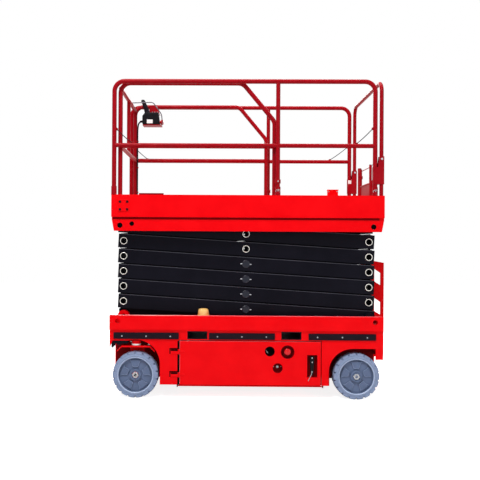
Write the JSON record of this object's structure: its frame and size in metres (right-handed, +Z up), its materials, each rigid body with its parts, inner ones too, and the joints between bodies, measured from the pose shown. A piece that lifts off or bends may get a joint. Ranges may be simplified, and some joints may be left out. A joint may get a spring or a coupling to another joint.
{
  "type": "scissor lift",
  "caption": "Stowed electric scissor lift on solid wheels: slab chassis, stacked crossed arms, railed platform with a roll-out deck, ladder, beacon and tray doors.",
  "frame": {"origin": "on the ground, at the middle of the bounding box", "axes": "+Z up, +X towards the ladder at the rear, the steered wheels at -X"},
  "size_m": [2.38, 1.15, 2.694],
  "materials": {
    "red_paint": "gloss",
    "black_paint": "satin",
    "grey_tyre": "matt",
    "grey_rim": "satin",
    "black_rubber": "matt",
    "amber_plastic": "clear",
    "bright_steel": "machined",
    "chrome_rod": "polished",
    "black_plastic": "matt",
    "battery_case": "matt"
  },
  "bodies": {
    "chassis": {"top_rails": "red_paint", "chassis_body": "red_paint", "chassis_frame": "red_paint", "fork_pockets": "red_paint", "side_skins": "red_paint", "bumper_strips": "black_rubber", "ladder": "red_paint", "beacon": "amber_plastic", "drive_units": "black_paint", "steer_barrel": "black_paint"},
    "tie_rod": {"tie_rod": "bright_steel"},
    "steer_rod": {"steer_rod": "chrome_rod"},
    "tray_left": {"tray_door_left": "red_paint", "hydraulic_pack": "black_paint", "door_fittings": "black_plastic"},
    "tray_right": {"tray_door_right": "red_paint", "batteries": "battery_case"},
    "platform": {"deck_frame": "red_paint", "deck_tracks": "red_paint", "toe_boards": "red_paint", "side_rail_left": "red_paint", "side_rail_right": "red_paint", "rear_rail": "red_paint"},
    "gate": {"gate": "red_paint"},
    "extension": {"extension_deck": "red_paint", "extension_rail_left": "red_paint", "extension_rail_right": "red_paint", "front_bars": "red_paint", "control_box": "black_plastic", "control_cable": "black_rubber"},
    "inner_1": {"inner_frame_1": "black_paint"},
    "outer_1": {"outer_arms_1": "black_paint"},
    "inner_2": {"inner_frame_2": "black_paint"},
    "outer_2": {"outer_arms_2": "black_paint"},
    "inner_3": {"inner_frame_3": "black_paint"},
    "outer_3": {"outer_arms_3": "black_paint"},
    "inner_4": {"inner_frame_4": "black_paint"},
    "outer_4": {"outer_arms_4": "black_paint"},
    "inner_5": {"inner_frame_5": "black_paint"},
    "outer_5": {"outer_arms_5": "black_paint"},
    "inner_6": {"inner_frame_6": "black_paint"},
    "outer_6": {"outer_arms_6": "black_paint"},
    "lift_barrel_lower": {"lift_barrel_lower": "black_paint"},
    "lift_rod_lower": {"lift_rod_lower": "chrome_rod"},
    "lift_barrel_upper": {"lift_barrel_upper": "black_paint"},
    "lift_rod_upper": {"lift_rod_upper": "chrome_rod"},
    "steer_left": {"yoke_left": "red_paint"},
    "wheel_front_left": {"tyre_front_left": "grey_tyre", "rim_front_left": "grey_rim"},
    "wheel_rear_left": {"tyre_rear_left": "grey_tyre", "rim_rear_left": "grey_rim"},
    "guard_left": {"pothole_guard_left": "red_paint"},
    "steer_right": {"yoke_right": "red_paint"},
    "wheel_front_right": {"tyre_front_right": "grey_tyre", "rim_front_right": "grey_rim"},
    "wheel_rear_right": {"tyre_rear_right": "grey_tyre", "rim_rear_right": "grey_rim"},
    "guard_right": {"pothole_guard_right": "red_paint"}
  },
  "joints": [
    {"name": "lift", "type": "hinge", "parent": "chassis", "child": "inner_1", "pos_m": [-1.093, 0, 0.666], "axis": [0, -1, 0], "range_deg": [0, 57]},
    {"name": "cross_1", "type": "hinge", "parent": "inner_1", "child": "outer_1", "pos_m": [-0.05397, 0, 0.73], "axis": [0, -1, 0], "range_deg": [-114, 0]},
    {"name": "stack_2", "type": "hinge", "parent": "inner_1", "child": "outer_2", "pos_m": [0.98506, 0, 0.794], "axis": [0, -1, 0], "range_deg": [-114, 0]},
    {"name": "cross_2", "type": "hinge", "parent": "outer_2", "child": "inner_2", "pos_m": [-0.05397, 0, 0.858], "axis": [0, -1, 0], "range_deg": [0, 114]},
    {"name": "stack_3", "type": "hinge", "parent": "outer_2", "child": "inner_3", "pos_m": [-1.093, 0, 0.922], "axis": [0, -1, 0], "range_deg": [0, 114]},
    {"name": "cross_3", "type": "hinge", "parent": "inner_3", "child": "outer_3", "pos_m": [-0.05397, 0, 0.986], "axis": [0, -1, 0], "range_deg": [-114, 0]},
    {"name": "stack_4", "type": "hinge", "parent": "inner_3", "child": "outer_4", "pos_m": [0.98506, 0, 1.05], "axis": [0, -1, 0], "range_deg": [-114, 0]},
    {"name": "cross_4", "type": "hinge", "parent": "outer_4", "child": "inner_4", "pos_m": [-0.05397, 0, 1.114], "axis": [0, -1, 0], "range_deg": [0, 114]},
    {"name": "stack_5", "type": "hinge", "parent": "outer_4", "child": "inner_5", "pos_m": [-1.093, 0, 1.178], "axis": [0, -1, 0], "range_deg": [0, 114]},
    {"name": "cross_5", "type": "hinge", "parent": "inner_5", "child": "outer_5", "pos_m": [-0.05397, 0, 1.242], "axis": [0, -1, 0], "range_deg": [-114, 0]},
    {"name": "stack_6", "type": "hinge", "parent": "inner_5", "child": "outer_6", "pos_m": [0.98506, 0, 1.306], "axis": [0, -1, 0], "range_deg": [-114, 0]},
    {"name": "cross_6", "type": "hinge", "parent": "outer_6", "child": "inner_6", "pos_m": [-0.05397, 0, 1.37], "axis": [0, -1, 0], "range_deg": [0, 114]},
    {"name": "platform_level", "type": "hinge", "parent": "outer_6", "child": "platform", "pos_m": [-1.093, 0, 1.434], "axis": [0, -1, 0], "range_deg": [0, 57]},
    {"name": "cylinder_swing_lower", "type": "hinge", "parent": "inner_2", "child": "lift_barrel_lower", "pos_m": [-1.00317, 0, 0.79953], "axis": [0, -1, 0], "range_deg": [0, 10.55]},
    {"name": "cylinder_stroke_lower", "type": "slide", "parent": "lift_barrel_lower", "child": "lift_rod_lower", "axis": [0.9918, 0, 0.128], "range_m": [0, 1.67826]},
    {"name": "cylinder_swing_upper", "type": "hinge", "parent": "inner_4", "child": "lift_barrel_upper", "pos_m": [-1.00317, 0, 1.05553], "axis": [0, -1, 0], "range_deg": [0, 10.55]},
    {"name": "cylinder_stroke_upper", "type": "slide", "parent": "lift_barrel_upper", "child": "lift_rod_upper", "axis": [0.9918, 0, 0.128], "range_m": [0, 1.67826]},
    {"name": "steer", "type": "hinge", "parent": "chassis", "child": "steer_left", "pos_m": [-0.973, -0.506, 0.1905], "axis": [0, 0, 1], "range_deg": [-62, 62]},
    {"name": "wheel_front_left_spin", "type": "hinge", "parent": "steer_left", "child": "wheel_front_left", "pos_m": [-0.973, -0.506, 0.1905], "axis": [0, 1, 0], "continuous": true},
    {"name": "wheel_rear_left_spin", "type": "hinge", "parent": "chassis", "child": "wheel_rear_left", "pos_m": [0.861, -0.506, 0.1905], "axis": [0, 1, 0], "continuous": true},
    {"name": "guard_left_swing", "type": "hinge", "parent": "chassis", "child": "guard_left", "pos_m": [-0.63, -0.54, 0.101], "axis": [-1, 0, 0], "range_deg": [0, 90]},
    {"name": "tray_left_swing", "type": "hinge", "parent": "chassis", "child": "tray_left", "pos_m": [-0.609, -0.5665, 0.3], "axis": [0, 0, -1], "range_deg": [0, 90]},
    {"name": "steer_right", "type": "hinge", "parent": "chassis", "child": "steer_right", "pos_m": [-0.973, 0.506, 0.1905], "axis": [0, 0, 1], "range_deg": [-62, 62]},
    {"name": "wheel_front_right_spin", "type": "hinge", "parent": "steer_right", "child": "wheel_front_right", "pos_m": [-0.973, 0.506, 0.1905], "axis": [0, 1, 0], "continuous": true},
    {"name": "wheel_rear_right_spin", "type": "hinge", "parent": "chassis", "child": "wheel_rear_right", "pos_m": [0.861, 0.506, 0.1905], "axis": [0, 1, 0], "continuous": true},
    {"name": "guard_right_swing", "type": "hinge", "parent": "chassis", "child": "guard_right", "pos_m": [-0.63, 0.54, 0.101], "axis": [1, 0, 0], "range_deg": [0, 90]},
    {"name": "tray_right_swing", "type": "hinge", "parent": "chassis", "child": "tray_right", "pos_m": [-0.609, 0.5665, 0.3], "axis": [0, 0, 1], "range_deg": [0, 90]},
    {"name": "tie_rod_turn", "type": "hinge", "parent": "steer_left", "child": "tie_rod", "pos_m": [-0.865, -0.506, 0.438], "axis": [0, 0, 1], "range_deg": [-62, 62]},
    {"name": "steer_stroke", "type": "slide", "parent": "chassis", "child": "steer_rod", "axis": [0, 1, 0], "range_m": [-0.09537, 0.09537]},
    {"name": "gate_swing", "type": "hinge", "parent": "platform", "child": "gate", "pos_m": [1.058, 0.244, 1.6], "axis": [0, 0, -1], "range_deg": [0, 90]},
    {"name": "extension_slide", "type": "slide", "parent": "platform", "child": "extension", "axis": [-1, 0, 0], "range_m": [0, 0.9]}
  ],
  "couplings": [
    {"joint": "cross_1", "follows": "lift", "ratio": -2},
    {"joint": "stack_2", "follows": "lift", "ratio": -2},
    {"joint": "cross_2", "follows": "lift", "ratio": 2},
    {"joint": "stack_3", "follows": "lift", "ratio": 2},
    {"joint": "cross_3", "follows": "lift", "ratio": -2},
    {"joint": "stack_4", "follows": "lift", "ratio": -2},
    {"joint": "cross_4", "follows": "lift", "ratio": 2},
    {"joint": "stack_5", "follows": "lift", "ratio": 2},
    {"joint": "cross_5", "follows": "lift", "ratio": -2},
    {"joint": "stack_6", "follows": "lift", "ratio": -2},
    {"joint": "cross_6", "follows": "lift", "ratio": 2},
    {"joint": "platform_level", "follows": "lift", "ratio": 1},
    {"joint": "cylinder_swing_lower", "follows": "lift", "ratio": 0.18505},
    {"joint": "cylinder_stroke_lower", "follows": "lift", "m_per_rad": 1.687},
    {"joint": "cylinder_swing_upper", "follows": "lift", "ratio": 0.18505},
    {"joint": "cylinder_stroke_upper", "follows": "lift", "m_per_rad": 1.687},
    {"joint": "steer_right", "follows": "steer", "ratio": 1},
    {"joint": "guard_right_swing", "follows": "guard_left_swing", "ratio": 1},
    {"joint": "tie_rod_turn", "follows": "steer", "ratio": -1},
    {"joint": "steer_stroke", "follows": "steer", "m_per_rad": 0.088123}
  ]
}
